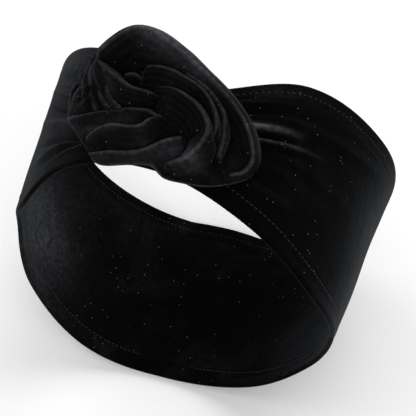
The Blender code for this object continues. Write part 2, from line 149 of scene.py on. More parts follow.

# Highlights painted the same way into the rosette's colour, at places in its plan as shares of its half sizes
ROSETTE_PAINTED_HIGHLIGHTS = (
    # p, q, reach_p, reach_q, amount
    (-0.24, 0.68, 0.26, 0.13, 0.95),
    (0.02, 0.60, 0.20, 0.13, 1.30),
    (0.24, 0.46, 0.24, 0.13, 0.95),
    (0.46, 0.27, 0.24, 0.12, 0.35),
    (0.38, -0.70, 0.14, 0.12, 0.42),
    (-0.35, -0.49, 0.26, 0.08, 0.58),
    (-0.30, -0.84, 0.40, 0.10, 0.15),
    (0.10, -0.72, 0.18, 0.12, 0.16),
    (-0.30, -0.02, 0.16, 0.14, 0.08),
)

# A highlight painted into the colour along every crest of the rosette, how wide it is, and how strongly the
# ripples show in it as painted streaks
CREST_PAINTED_HIGHLIGHT = 0.55
CREST_HIGHLIGHT_WIDTH = 0.0008
PAINTED_STREAK_GAIN = 1700.0

# Outline of the rosette: the share of its half sizes that it reaches, by angle in its own plan
OUTLINE = (
    # angle, reach
    (0, 0.93),
    (22, 0.76),
    (48, 0.62),
    (75, 0.68),
    (95, 0.81),
    (118, 0.95),
    (138, 0.98),
    (152, 1.07),
    (164, 1.13),
    (176, 1.08),
    (188, 1.00),
    (206, 0.90),
    (226, 0.89),
    (246, 0.97),
    (264, 0.86),
    (278, 0.83),
    (286, 0.97),
    (296, 1.02),
    (308, 1.06),
    (322, 1.07),
    (340, 1.05),
)

# Face of the rosette between its folds
FACE = (
    # depth, height
    (-1.0, 0.05),
    (-0.8, 0.08),
    (-0.5, 0.14),
    (-0.2, 0.20),
    (0.1, 0.27),
    (0.35, 0.38),
    (0.6, 0.58),
    (1.0, 0.70),
)

# Ridges of the rosette. Each crest runs through its points, given as shares of the half length, the half
# depth and the height. It rounds over and falls away by its own slope to the left and to the right.
RIDGES = (
    # name, left_slope, right_slope, left_rounding, right_rounding, flank, ripple, points (p, q, height)
    ("outer_roll", 1.9, 4.4, 0.0080, 0.0030, 0.0070, 0.00005, (
        (-0.61, 0.03, 0.58), (-0.60, 0.12, 0.68), (-0.55, 0.22, 0.79), (-0.46, 0.32, 0.89),
        (-0.37, 0.41, 0.97), (-0.28, 0.49, 1.03), (-0.20, 0.53, 1.05), (-0.10, 0.51, 1.03),
        (0.02, 0.43, 0.97), (0.15, 0.35, 0.90), (0.29, 0.26, 0.81), (0.43, 0.18, 0.71),
        (0.58, 0.09, 0.59), (0.73, -0.02, 0.47), (0.84, -0.16, 0.36), (0.91, -0.30, 0.26),
        (0.89, -0.46, 0.18), (0.80, -0.58, 0.13),
    )),
    ("right_fold", 2.8, 1.4, 0.0014, 0.0020, 0.0070, 0.0, (
        (0.20, 0.22, 0.73), (0.34, 0.15, 0.69), (0.45, 0.06, 0.61), (0.54, -0.04, 0.52),
        (0.59, -0.18, 0.42), (0.62, -0.34, 0.33), (0.64, -0.47, 0.24),
    )),
    ("middle_swirl", 3.0, 1.5, 0.0018, 0.0018, 0.0070, 0.00005, (
        (-0.12, 0.25, 0.66), (-0.01, 0.24, 0.70), (0.11, 0.19, 0.73), (0.21, 0.15, 0.73),
        (0.32, 0.11, 0.69), (0.40, 0.03, 0.64), (0.47, -0.09, 0.58), (0.52, -0.21, 0.52),
        (0.53, -0.32, 0.46), (0.51, -0.43, 0.40),
    )),
    ("inner_swirl", 3.0, 2.2, 0.0020, 0.0030, 0.0070, 0.00005, (
        (-0.02, 0.11, 0.55), (0.07, 0.07, 0.60), (0.17, -0.01, 0.64), (0.27, -0.10, 0.66),
        (0.34, -0.16, 0.66), (0.41, -0.24, 0.64), (0.46, -0.32, 0.60), (0.49, -0.40, 0.54),
        (0.48, -0.53, 0.48), (0.45, -0.65, 0.43), (0.39, -0.76, 0.36), (0.29, -0.82, 0.28),
    )),
    ("upper_leaf", 3.2, 1.5, 0.0020, 0.0020, 0.0070, 0.00004, (
        (-0.54, 0.25, 0.80), (-0.46, 0.13, 0.78), (-0.37, 0.03, 0.74), (-0.27, -0.06, 0.69),
        (-0.19, -0.09, 0.63), (-0.11, -0.07, 0.57), (-0.04, -0.03, 0.51), (0.00, 0.02, 0.45),
    )),
    ("hollow_lip", 2.4, 1.8, 0.0014, 0.0014, 0.0060, 0.0, (
        (-0.29, 0.13, 0.60), (-0.23, 0.18, 0.57), (-0.16, 0.17, 0.54), (-0.10, 0.10, 0.50),
        (-0.03, 0.05, 0.45),
    )),
    ("hollow_fold", 1.6, 2.4, 0.0016, 0.0016, 0.0050, 0.0, (
        (-0.17, 0.44, 0.60), (-0.16, 0.32, 0.58), (-0.15, 0.21, 0.56),
    )),
    ("upper_lobe", 1.4, 1.8, 0.0030, 0.0030, 0.0060, 0.00004, (
        (-0.80, 0.56, 0.56), (-0.88, 0.41, 0.50), (-0.84, 0.26, 0.42),
    )),
    ("lower_lobe", 1.4, 1.8, 0.0030, 0.0030, 0.0060, 0.00004, (
        (-0.92, 0.25, 0.42), (-0.98, 0.15, 0.38), (-0.95, -0.06, 0.34),
    )),
    ("left_fold_outer", 2.0, 1.8, 0.0014, 0.0014, 0.0060, 0.0, (
        (-0.67, 0.56, 0.62), (-0.71, 0.40, 0.60), (-0.71, 0.19, 0.55), (-0.64, -0.02, 0.50),
        (-0.53, -0.24, 0.44),
    )),
    ("left_fold_middle", 2.4, 2.2, 0.0012, 0.0012, 0.0060, 0.0, (
        (-0.59, 0.18, 0.66), (-0.54, 0.02, 0.60), (-0.46, -0.15, 0.54), (-0.36, -0.28, 0.48),
    )),
    ("left_fold_inner", 2.4, 2.0, 0.0012, 0.0012, 0.0060, 0.0, (
        (-0.48, 0.17, 0.74), (-0.41, -0.06, 0.64), (-0.35, -0.20, 0.56), (-0.26, -0.30, 0.50),
    )),
    ("middle_leaf", 3.0, 1.6, 0.0016, 0.0022, 0.0070, 0.00004, (
        (-1.00, -0.14, 0.30), (-0.90, -0.21, 0.34), (-0.68, -0.29, 0.38), (-0.45, -0.32, 0.43),
        (-0.25, -0.32, 0.48), (-0.10, -0.33, 0.51), (0.01, -0.31, 0.50), (0.07, -0.29, 0.46),
    )),
    ("lower_leaf", 2.4, 1.7, 0.0022, 0.0030, 0.0070, 0.00004, (
        (-0.66, -0.56, 0.18), (-0.59, -0.55, 0.26), (-0.45, -0.54, 0.34), (-0.30, -0.52, 0.40),
        (-0.14, -0.56, 0.44), (-0.02, -0.53, 0.47), (0.02, -0.41, 0.48), (0.05, -0.31, 0.47),
    )),
    ("rim_fold", 2.0, 1.2, 0.0020, 0.0030, 0.0070, 0.00004, (
        (-0.75, -0.66, 0.06), (-0.63, -0.72, 0.14), (-0.37, -0.80, 0.22), (-0.08, -0.79, 0.30),
        (0.09, -0.71, 0.35), (0.22, -0.59, 0.38), (0.29, -0.51, 0.36),
    )),
)

# Where the rosette's heart ends and its wraps begin, and the seams between the wraps
HEART_MIDDLE = (0.16, -0.26)
HEART_REACH = (
    # angle, reach
    (0, 0.335),
    (45, 0.345),
    (85, 0.37),
    (115, 0.41),
    (140, 0.34),
    (180, 0.22),
    (225, 0.24),
    (270, 0.25),
    (315, 0.30),
)
SEAMS = (
    # inner_angle, outer_angle, bow
    (-8, -62, 0.0),
    (135, 141, 0.0),
    (190, 174, -0.09),
    (352, 298, 0.0),
)
WRAPS = ("outer_petal", "left_folds", "lower_petal")

# Counts of faces
BAND_COLUMNS = 420
BAND_ROWS = 70
TOP_CROWDING = 0.35
RUNS_PER_POINT = 4
HEART_COLUMNS = 240
HEART_ROWS = 60
WRAP_STEP = 0.7
WRAP_ROWS = 130

# How folds begin and end: powers, and shares of a pleat's length
EDGE_SHARPNESS = 7
PLEAT_FADE = 0.7
PLEAT_ONSET = 0.25
PLEAT_SHARPNESS = 1.3
RIM_CROWDING = 1.2

# The patch of band that each point of the rosette rests on
SEAT_REACH = 0.004
SEAT_STEPS = (-1, -0.5, 0, 0.5, 1)

# A length that keeps a division safe, and the search for the outline: where it starts, how often it halves
TINY = 1e-12
FARTHEST = 9.0
HALVINGS = 40

# Stitches along the casings, each a short rod that narrows at its ends
STITCH_LENGTH = 0.0013
STITCH_SPACING = 0.0024
STITCH_RADIUS = 0.00017
STITCH_SIDES = 6
NEAR_STITCH_INSET = 0.0087
FAR_STITCH_INSET = 0.0057
STITCH_SHAPE = (
    # place along the stitch from its middle, width, both as shares
    (-1.0, 0.25),
    (-0.55, 1.0),
    (0.55, 1.0),
    (1.0, 0.25),
)

# The casing's section: a faint groove at its stitches and a rounded rim over the wire
ROLL = (
    # distance in from the rim, half thickness, both as shares
    (1.00, 1.00),
    (0.96, 1.00),
    (0.80, 0.99),
    (0.70, 0.98),
    (0.655, 0.94),
    (0.64, 0.90),
    (0.625, 0.94),
    (0.58, 0.98),
    (0.42, 1.02),
    (0.24, 1.06),
    (0.15, 1.02),
    (0.09, 0.88),
    (0.045, 0.66),
    (0.012, 0.34),
)

# The velvet of each piece: its own colour, how much it blooms, and its patches
PILES = (
    # name, dark, sheen, patch_scale, seed
    ("band_pile", (0.0007, 0.0007, 0.00075, 1.0), 0.062, 24.0, 0.0),
    ("hem_pile", (0.0007, 0.0007, 0.00075, 1.0), 0.062, 34.0, 0.37),
    ("rosette_pile", (0.0016, 0.0016, 0.0017, 1.0), 0.062, 42.0, 0.71),
)

# The noises of the velvet and the thread: short pile, its tufts, its slower lean, brushed patches and twist
NOISES = {
    "pile": {"Scale": 1400.0, "Detail": 2.0, "Roughness": 0.7},
    "tufts": {"Scale": 420.0, "Detail": 2.0, "Roughness": 0.6},
    "lean": {"Scale": 75.0, "Detail": 3.0, "Roughness": 0.55},
    "patches": {"Detail": 4.0, "Roughness": 0.6, "Distortion": 0.8},
    "twist": {"Scale": 2500.0, "Detail": 1.0},
}

# Strengths and heights of the bumps that they raise
PILE_STRENGTH = 0.5
PILE_BUMP = 0.0004
LEAN_STRENGTH = 0.3
LEAN_BUMP = 0.0016
THREAD_STRENGTH = 0.4
THREAD_BUMP = 0.0001

# What the noises mostly run between, how far they dim the brushed patches and the painted highlights, and the
# velvet's finish
NOISE_LOW = 0.3
NOISE_HIGH = 0.7
GRAIN_LOW = 0.35
MOTTLE_LOW = 0.6
MOTTLE_HIGH = 1.4
PILE_ROUGHNESS = 0.9
PILE_SPECULAR = 0.02
SHEEN_ROUGHNESS = 0.35
SHEEN_TINT = (0.84, 0.90, 1.0, 1.0)

# The pale colour that the velvet takes in its brushed patches, which fall at random, and in its painted
# highlights; and its lint
BRUSHED_AND_HIGHLIGHT = (0.060, 0.062, 0.068, 1.0)
PATCH_AMOUNT = 0.07
BRUSHED_FROM = 0.46
BRUSHED_TO = 0.72
LINT = (0.14, 0.14, 0.145, 1.0)
LINT_CELLS = 300.0
LINT_REACH = 0.065
LINT_CHOICE = 0.25

# Sockets of the mix node that hold colours: the two to mix and the mixed one
MIX_FIRST = 6
MIX_SECOND = 7
MIX_RESULT = 2

# The sewing thread
THREAD_DARK = (0.001, 0.001, 0.001, 1.0)
THREAD_PALE = (0.006, 0.006, 0.006, 1.0)
THREAD_ROUGHNESS = 0.55

# The floor and the soft square lights
FLOOR_REACH = 3.0
FLOOR_COLOUR = (0.95, 0.95, 0.95, 1.0)
FLOOR_ROUGHNESS = 0.9
WORLD_COLOUR = (1.0, 1.0, 1.0, 1.0)
WORLD_STRENGTH = 0.6
LIGHTS = (
    # name, place, size, power
    ("key", (0.55, -1.0, 0.85), 1.4, 9.0),
    ("left", (-1.0, 0.1, 0.9), 1.2, 4.2),
    ("back", (0.2, 1.1, 0.9), 1.0, 9.0),
)

# Where the photograph's camera stands
CAMERA_AZIMUTH = 22.77
CAMERA_ELEVATION = 54.88
CAMERA_ROLL = -3.22
CAMERA_DISTANCE = 0.8476
CAMERA_LENS = 153.8
SENSOR = 36.0
SHIFT_X = 0.0375
SHIFT_Y = 0.0257


def curve(a, b, c, d, f):
    """A smooth way from b to c, aimed by the values before and after them; f runs from 0 to 1."""
    return b + 0.5 * f * (c - a + f * (2 * a - 5 * b + 4 * c - d + f * (3 * (b - c) + d - a)))


def periodic(column, angle):
    """A column of the sections, smoothly between them, at angles in degrees."""
    values = np.array([row[column] for row in SECTIONS])
    place = (np.asarray(angle, float) % 360) / 360 * len(SECTIONS)
    index = np.floor(place).astype(int)
    f = place - index
    a, b, c, d = (values[(index + step) % len(SECTIONS)] for step in (-1, 0, 1, 2))
    return curve(a, b, c, d, f)


def by_angle(rows, angle):
    """A reach read from a table of angles, smoothly round the full turn."""
    turn = np.array([row[0] for row in rows], float)
    reach = np.array([row[1] for row in rows])
    turn = np.concatenate([turn[-2:] - 360, turn, turn[:2] + 360])
    reach = np.concatenate([reach[-2:], reach, reach[:2]])
    angle = np.asarray(angle, float) % 360
    index = np.clip(np.searchsorted(turn, angle, side="right") - 1, 1, len(turn) - 3)
    span = turn[index + 1] - turn[index]
    f = (angle - turn[index]) / span
    rise_in = (reach[index + 1] - reach[index - 1]) / (turn[index + 1] - turn[index - 1]) * span
    rise_out = (reach[index + 2] - reach[index]) / (turn[index + 2] - turn[index]) * span
    low, high = reach[index], reach[index + 1]
    return (
        low * (1 + 2 * f) * (1 - f) ** 2
        + rise_in * f * (1 - f) ** 2
        + high * f * f * (3 - 2 * f)
        + rise_out * f * f * (f - 1)
    )


def smooth_step(x):
    x = np.clip(x, 0, 1)
    return x * x * (3 - 2 * x)


def edges(angle):
    """Where the near and far rims lie along Y."""
    return periodic(3, angle) * BAND_WIDTH, periodic(4, angle) * BAND_WIDTH


def pleats(angle, across):
    """How far the cloth stands out at a pleat or sinks at a crease, as a share, and the highlight painted
    beside it.
    """
    near, far = edges(angle)
    lift = np.zeros(np.broadcast(angle, across).shape)
    sink = np.zeros(lift.shape)
    painted_glow = np.zeros(lift.shape)
    for start_angle, start_across, end_angle, end_across, height, half_width, shine in PLEATS:
        along = (angle - start_angle) / (end_angle - start_angle)
        middle = start_across + (end_across - start_across) * np.clip(along, 0, 1)
        offset = (across - middle) * (far - near) / half_width
        fade = smooth_step((1 - along) / PLEAT_FADE) * smooth_step(1 + along / PLEAT_ONSET)
        share = fade * np.clip(1 - np.abs(offset), 0, 1) ** PLEAT_SHARPNESS
        lift = np.maximum(lift, height * share)
        sink = np.minimum(sink, height * share)
        beam = np.clip(1 - np.abs(offset - SHINE_ASIDE) * SHINE_NARROW, 0, 1)
        painted_glow = np.maximum(painted_glow, shine * fade * beam)
    rim_distance = np.minimum(across, 1 - across) * (far - near)
    return (lift + sink) * smooth_step((rim_distance - CASING_WIDTH) / PLEAT_REACH + 0.5), painted_glow


def swell(angle, across, at_angle, at_across, reach_angle, reach_across):
    """A soft round rise on the band, 1 at its middle."""
    aside = (angle - at_angle + 180) % 360 - 180
    return np.exp(-((aside / reach_angle) ** 2) - ((across - at_across) / reach_across) ** 2)


def wave_lift(angle, across):
    """Soft unevenness of the cloth away from the rims."""
    lift = np.zeros(np.broadcast(angle, across).shape)
    for *place, height in WAVES:
        lift += height * swell(angle, across, *place)
    return lift


def band_painted_highlight(angle, across, face):
    """How strongly a highlight is painted into the colour of one face of the band."""
    painted_highlight = pleats(angle, across)[1] * (face > 0)
    for on_face, *place, amount in BAND_PAINTED_HIGHLIGHTS:
        painted_highlight = painted_highlight + amount * swell(angle, across, *place) * (face == on_face)
    return painted_highlight


def rosette_painted_highlight(p, q, closeness):
    """How strongly a highlight is painted into the rosette's colour, most along its crests."""
    painted_highlight = CREST_PAINTED_HIGHLIGHT * np.maximum(closeness, 0)
    for at_p, at_q, reach_p, reach_q, amount in ROSETTE_PAINTED_HIGHLIGHTS:
        aside_p = (p / ROSETTE_HALF_LENGTH - at_p) / reach_p
        aside_q = (q / ROSETTE_HALF_DEPTH - at_q) / reach_q
        painted_highlight = painted_highlight + amount * np.exp(-(aside_p**2) - aside_q**2)
    return painted_highlight


def cloth_radius(angle, across):
    """Radius of the middle of the cloth."""
    near, middle, far = (periodic(column, angle) for column in range(3))
    share = near * (2 * across - 1) * (across - 1)
    share = share + middle * 4 * across * (1 - across)
    share = share + far * across * (2 * across - 1)
    return share * LOOP_RADIUS + PLEAT_HEIGHT * pleats(angle, across)[0] + wave_lift(angle, across)


def loop_point(angle, radius, along_y, above_floor=0.0):
    """A point of the loop, pressed flat where it would reach below the floor."""
    turn = np.radians(angle)
    height = CENTRE_HEIGHT + radius * np.sin(turn)
    return np.stack(np.broadcast_arrays(radius * np.cos(turn), along_y, np.maximum(height, above_floor)), -1)


def band_angles():
    """Angles of the band's columns, closest together under the rosette."""
    turn = np.arange(BAND_COLUMNS) * 2 * math.pi / BAND_COLUMNS
    return np.degrees(turn - TOP_CROWDING * np.sin(turn - math.radians(ROSETTE_ANGLE)))


def add_piece(name, points, faces, material, node, painted_highlight=None):
    mesh = bpy.data.meshes.new(name)
    mesh.from_pydata(points.tolist(), [], faces)
    # Each point carries how strongly a highlight is painted into its colour
    brushed_and_highlight = mesh.attributes.new("painted_highlight", "FLOAT", "POINT")
    brushed_and_highlight.data.foreach_set("value", np.zeros(len(points)) if painted_highlight is None else painted_highlight.ravel())
    mesh.shade_smooth()
    mesh.materials.append(material)
    piece = bpy.data.objects.new(name, mesh)
    bpy.context.collection.objects.link(piece)
    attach(piece, "root")
    if node:
        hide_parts(node)
    return piece


def swept_ring(profiles):
    """Points and faces of a closed ring swept through a stack of closed profiles."""
    columns, corners = profiles.shape[:2]
    column, corner = np.meshgrid(np.arange(columns), np.arange(corners), indexing="ij")
    after = (column + 1) % columns
    other = (corner + 1) % corners
    quads = np.stack(
        [
            column * corners + corner,
            column * corners + other,
            after * corners + other,
            after * corners + corner,
        ],
        -1,
    )
    return profiles.reshape(-1, 3), quads.reshape(-1, 4).tolist()


def make_band(material):
    angle = band_angles()[:, None]
    near, far = edges(angle)
    margin = (CASING_WIDTH + SEAM_GAP) / (far - near)
    tucked = (CASING_WIDTH - SEAM_TUCK) / (far - near)
    rows = margin + (1 - 2 * margin) * np.linspace(0, 1, BAND_ROWS + 1)[None, :]
    across = np.concatenate([tucked, rows, 1 - tucked], axis=1)
    half = np.full(across.shape[1], CLOTH_WALL / 2)
    half[[0, -1]] = TUCK_HALF_WALL
    radius = cloth_radius(angle, across)
    along_y = near + (far - near) * across
    outer = loop_point(angle, radius + half, along_y, CLOTH_WALL / 2 - half)
    inner = loop_point(angle, radius - half, along_y, CLOTH_WALL / 2 + half)
    points, faces = swept_ring(np.concatenate([outer, inner[:, ::-1]], axis=1))
    # Highlights painted into the colour of the outer and the inner face
    painted_highlight = np.concatenate([band_painted_highlight(angle, across, 1), band_painted_highlight(angle, across, -1)[:, ::-1]], axis=1)
    return add_piece("band_cloth", points, faces, material, "band", painted_highlight)


def make_casing(name, side, material, node):
    """The rolled casing along one rim; side is 0 for the near rim and 1 for the far one."""
    half = ROLL_THICKNESS / 2
    upper = [(inward * CASING_WIDTH, share * half) for inward, share in ROLL]
    profile = upper + [(0.0, 0.0)] + [(inward, -outward) for inward, outward in reversed(upper)]
    angle = band_angles()
    near, far = edges(angle)
    corners = []
    painted_highlights = []
    for inward, outward in profile:
        across = inward / (far - near)
        if side:
            across = 1 - across
        radius = cloth_radius(angle, across) + outward
        along_y = near + (far - near) * across
        corners.append(loop_point(angle, radius, along_y, CASING_THICKNESS / 2 - outward))
        # The casing takes the highlights painted on the band beside it
        painted_highlights.append(band_painted_highlight(angle, across, 1 if outward > 0 else -1))
    rings = np.stack(corners, axis=1)
    painted_highlight = np.stack(painted_highlights, axis=1)
    if side:
        rings = rings[:, ::-1]
        painted_highlight = painted_highlight[:, ::-1]
    points, faces = swept_ring(rings)
    return add_piece(name, points, faces, material, node, painted_highlight)


def make_stitches(name, side, inset, material):
    """Short stitches along a casing, half sunk in the pile, on the outer and the inner face."""
    around = np.linspace(0, 360, round(2 * math.pi * LOOP_RADIUS / STITCH_SPACING), endpoint=False)
    near, far = edges(around)
    across = inset / (far - near)
    if side:
        across = 1 - across
    along_y = near + (far - near) * across
    half_turn = math.degrees(STITCH_LENGTH / 2 / LOOP_RADIUS)
    points = []
    faces = []
    for face in (1, -1):
        for angle, share, y in zip(around, across, along_y):
            first = len(points)
            for end, width in STITCH_SHAPE:
                turn = angle + end * half_turn
                radius = cloth_radius(turn, share) + face * ROLL_THICKNESS / 2
                for side_turn in np.arange(STITCH_SIDES) * 2 * math.pi / STITCH_SIDES:
                    out = width * STITCH_RADIUS * math.cos(side_turn)
                    aside = width * STITCH_RADIUS * math.sin(side_turn)
                    lowest = ROLL_THICKNESS + STITCH_RADIUS if face < 0 else STITCH_RADIUS
                    points.append(loop_point(turn, radius + out, y + aside, lowest + out))
            faces += grid_faces(len(STITCH_SHAPE), STITCH_SIDES, first, closed=True)
            last = first + (len(STITCH_SHAPE) - 1) * STITCH_SIDES
            faces.append([first + corner for corner in range(STITCH_SIDES)])
            faces.append([last + corner for corner in reversed(range(STITCH_SIDES))])
    return add_piece(name, np.array(points), faces, material, None)


def rosette_frame(p, q):
    """Angle round the loop and place along Y of a point in the rosette's plan."""
    angle = ROSETTE_ANGLE - np.degrees(p / LOOP_RADIUS)
    return angle, ROSETTE_OFFSET * BAND_WIDTH + q


def seats(p, q):
    """Highest and mean radius of the band and its casings over a small patch round each point of the plan."""
    highest = np.zeros(np.broadcast(p, q).shape)
    total = np.zeros(highest.shape)
    for step_p in SEAT_STEPS:
        for step_q in SEAT_STEPS:
            angle, along_y = rosette_frame(p + step_p * SEAT_REACH, q + step_q * SEAT_REACH)
            near, far = edges(angle)
            across = np.clip((along_y - near) / (far - near), 0, 1)
            rim_distance = np.minimum(across, 1 - across) * (far - near)
            cover = np.where(rim_distance < CASING_WIDTH + PIECE_GAP, CASING_THICKNESS, CLOTH_WALL) / 2
            radius = cloth_radius(angle, across) + cover
            highest = np.maximum(highest, radius)
            total += radius
    return highest + PIECE_GAP, total / len(SEAT_STEPS) ** 2 + PIECE_GAP


def smooth_path(points):
    """A smooth line through points, in short straight runs."""
    points = np.array(points)
    ends = np.concatenate([2 * points[:1] - points[1:2], points, 2 * points[-1:] - points[-2:-1]])
    a, b, c, d = (ends[step : step + len(points) - 1, None] for step in range(4))
    f = np.arange(RUNS_PER_POINT)[None, :, None] / RUNS_PER_POINT
    path = curve(a, b, c, d, f)
    return np.concatenate([path.reshape(-1, points.shape[1]), points[-1:]])


def ridge_height(ridge, p, q):
    """Height of one ridge over the plan: its crest's height, less a slope to each side, with fine ripples."""
    _, left_slope, right_slope, left_rounding, right_rounding, flank, ripple, points = ridge
    path = smooth_path(points) * (ROSETTE_HALF_LENGTH, ROSETTE_HALF_DEPTH, ROSETTE_HEIGHT)
    start = path[:-1, :2]
    run = path[1:, :2] - start
    to_p = p[..., None] - start[:, 0]
    to_q = q[..., None] - start[:, 1]
    share = np.clip((to_p * run[:, 0] + to_q * run[:, 1]) / (run**2).sum(1), 0, 1)
    off_p = to_p - share * run[:, 0]
    off_q = to_q - share * run[:, 1]
    distance = np.hypot(off_p, off_q)
    lean = (run[:, 0] * off_q - run[:, 1] * off_p) / (np.hypot(run[:, 0], run[:, 1]) * distance + TINY)
    crest = path[:-1, 2] + share * np.diff(path[:, 2])
    nearest = distance.argmin(-1)[..., None]
    distance, lean, crest = (
        np.take_along_axis(each, nearest, -1)[..., 0] for each in (distance, lean, crest)
    )
    slope = (left_slope + right_slope) / 2 + (left_slope - right_slope) / 2 * lean
    rounding = (left_rounding + right_rounding) / 2 + (left_rounding - right_rounding) / 2 * lean
    fall = np.hypot(distance, rounding) - rounding
    ripple = ripple * np.sin(2 * math.pi * distance / RIPPLE_LENGTH) * smooth_step(distance / RIPPLE_LENGTH)
    # Closeness to the crest sets the highlight painted along it, and the ripples add painted streaks
    closeness = np.exp(-((distance / CREST_HIGHLIGHT_WIDTH) ** 2)) + PAINTED_STREAK_GAIN * ripple
    return crest - slope * flank * (1 - np.exp(-fall / flank)) - TAIL_SLOPE * fall + ripple, closeness


def rosette_height(p, q):
    """Height of the folded face over the middle of the cloth, sunk where one ridge meets the next, with how
    close each point is to the crest that it belongs to."""
    depths, heights = zip(*FACE)
    highest = np.interp(q / ROSETTE_HALF_DEPTH, depths, heights) * ROSETTE_HEIGHT
    second = np.full(highest.shape, -1.0)
    nearness = np.zeros(highest.shape)
    for ridge in RIDGES:
        height, closeness = ridge_height(ridge, p, q)
        nearness = np.where(height > highest, closeness, nearness)
        second = np.maximum(second, np.minimum(highest, height))
        highest = np.maximum(highest, height)
    return highest - CREVICE_DEPTH * np.exp((second - highest) / CREVICE_SPREAD), nearness


def outline_share(p, q):
    """How far out towards the rosette's outline a point lies, 1 on the outline."""
    share_p = p / ROSETTE_HALF_LENGTH
    share_q = q / ROSETTE_HALF_DEPTH
    return np.hypot(share_p, share_q) / by_angle(OUTLINE, np.degrees(np.arctan2(share_q, share_p)))


def top_face(p, q):
    """Radius of the rosette's outer face, which drops to a thin lip at its outline, and the highlight painted
    on it.
    """
    angle, _ = rosette_frame(p, q)
    lip = seats(p, q)[1] + ROSETTE_LIP
    height, closeness = rosette_height(p, q)
    full = np.maximum(cloth_middle(angle) + height, lip)
    share = np.clip(outline_share(p, q), 0, 1)
    edge = np.sqrt(1 - share**EDGE_SHARPNESS)
    return lip + (full - lip) * edge, rosette_painted_highlight(p, q, closeness)


def cloth_middle(angle):
    """Radius of the cloth halfway across the band, without pleats."""
    return periodic(1, angle) * LOOP_RADIUS


def heart_edge(angle):
    """A point on the seam round the heart, in the rosette's plan, at an angle about the heart's middle."""
    turn = np.radians(angle)
    reach = by_angle(HEART_REACH, angle)
    p = (HEART_MIDDLE[0] + reach * np.cos(turn)) * ROSETTE_HALF_LENGTH
    q = (HEART_MIDDLE[1] + reach * np.sin(turn)) * ROSETTE_HALF_DEPTH
    return np.stack([p, q], -1)


def outline_edge(angle):
    """The point of the outline straight out from the heart's middle, by halving the way."""
    middle = np.array(HEART_MIDDLE) * (ROSETTE_HALF_LENGTH, ROSETTE_HALF_DEPTH)
    way = heart_edge(angle) - middle
    low = np.zeros(len(angle))
    high = np.full(len(angle), FARTHEST)
    for _ in range(HALVINGS):
        trial = (low + high) / 2
        point = middle + way * trial[:, None]
        inside = outline_share(point[:, 0], point[:, 1]) < 1
        low = np.where(inside, trial, low)
        high = np.where(inside, high, trial)
    return middle + way * low[:, None]


def rosette_points(plan, radius):
    angle, along_y = rosette_frame(plan[..., 0], plan[..., 1])
    return loop_point(angle, radius, along_y)


def grid_faces(rows, columns, start=0, closed=False, turned=False):
    """Quads of a grid of points numbered row by row."""
    strips = columns if closed else columns - 1
    row, column = np.meshgrid(np.arange(rows - 1), np.arange(strips), indexing="ij")
    a = start + row * columns + column
    b = a + columns
    after = (column + 1) % columns - column
    quads = np.stack([a, b, b + after, a + after], -1).reshape(-1, 4)
    return (quads[:, ::-1] if turned else quads).tolist()


def make_heart(material):
    """The inner swirl, a closed form inside the seam."""
    angle = np.arange(HEART_COLUMNS) * 360 / HEART_COLUMNS
    middle = np.array(HEART_MIDDLE) * (ROSETTE_HALF_LENGTH, ROSETTE_HALF_DEPTH)
    way = heart_edge(angle) - middle
    way = way * (1 - SEAM_GAP / 2 / np.linalg.norm(way, axis=1, keepdims=True))
    shares = np.arange(1, HEART_ROWS + 1) / HEART_ROWS
    plan = middle + way[None, :, :] * shares[:, None, None]
    # The face's radius and the highlight painted into its colour
    radius, brushed_and_highlight = top_face(plan[..., 0], plan[..., 1])
    top = rosette_points(plan, radius)
    seat = rosette_points(plan, seats(plan[..., 0], plan[..., 1])[0])
    centre = middle[None, :]
    centre_radius, centre_highlight = top_face(centre[:, 0], centre[:, 1])
    centre_top = rosette_points(centre, centre_radius)
    centre_seat = rosette_points(centre, seats(centre[:, 0], centre[:, 1])[0])
    points = np.concatenate([top.reshape(-1, 3), seat.reshape(-1, 3), centre_top, centre_seat])
    layer = HEART_ROWS * HEART_COLUMNS
    faces = grid_faces(HEART_ROWS, HEART_COLUMNS, 0, closed=True)
    faces += grid_faces(HEART_ROWS, HEART_COLUMNS, layer, closed=True, turned=True)
    rim = layer - HEART_COLUMNS
    for column in range(HEART_COLUMNS):
        after = (column + 1) % HEART_COLUMNS
        faces.append((2 * layer, column, after))
        faces.append((2 * layer + 1, layer + after, layer + column))
        faces.append((rim + column, layer + rim + column, layer + rim + after, rim + after))
    painted_highlight = np.concatenate([brushed_and_highlight.ravel(), brushed_and_highlight.ravel() * 0, centre_highlight, centre_highlight * 0])
    return add_piece("heart_cloth", points, faces, material, "rosette_heart", painted_highlight)


def wrap_plan(first, last, columns, shares):
    """Plan of a wrap from the heart's seam to the outline, drawn in by half the gap at its inner sides."""
    across = np.linspace(0, 1, columns)
    inner_angle, outer_angle, bow = (low + (high - low) * across for low, high in zip(first, last))
    inner = heart_edge(inner_angle)
    outer = outline_edge(outer_angle)
    share = np.asarray(shares)[:, None, None]
    plan = inner + (outer - inner) * share
    plan[..., 1] += bow * np.sin(math.pi * share[..., 0]) * ROSETTE_HALF_DEPTH
    way = (outer - inner) / np.linalg.norm(outer - inner, axis=1, keepdims=True)
    aside = np.stack([-way[:, 1], way[:, 0]], -1)
    return plan + (aside * (1 - 2 * across)[:, None] + way * (1 - share)) * SEAM_GAP / 2


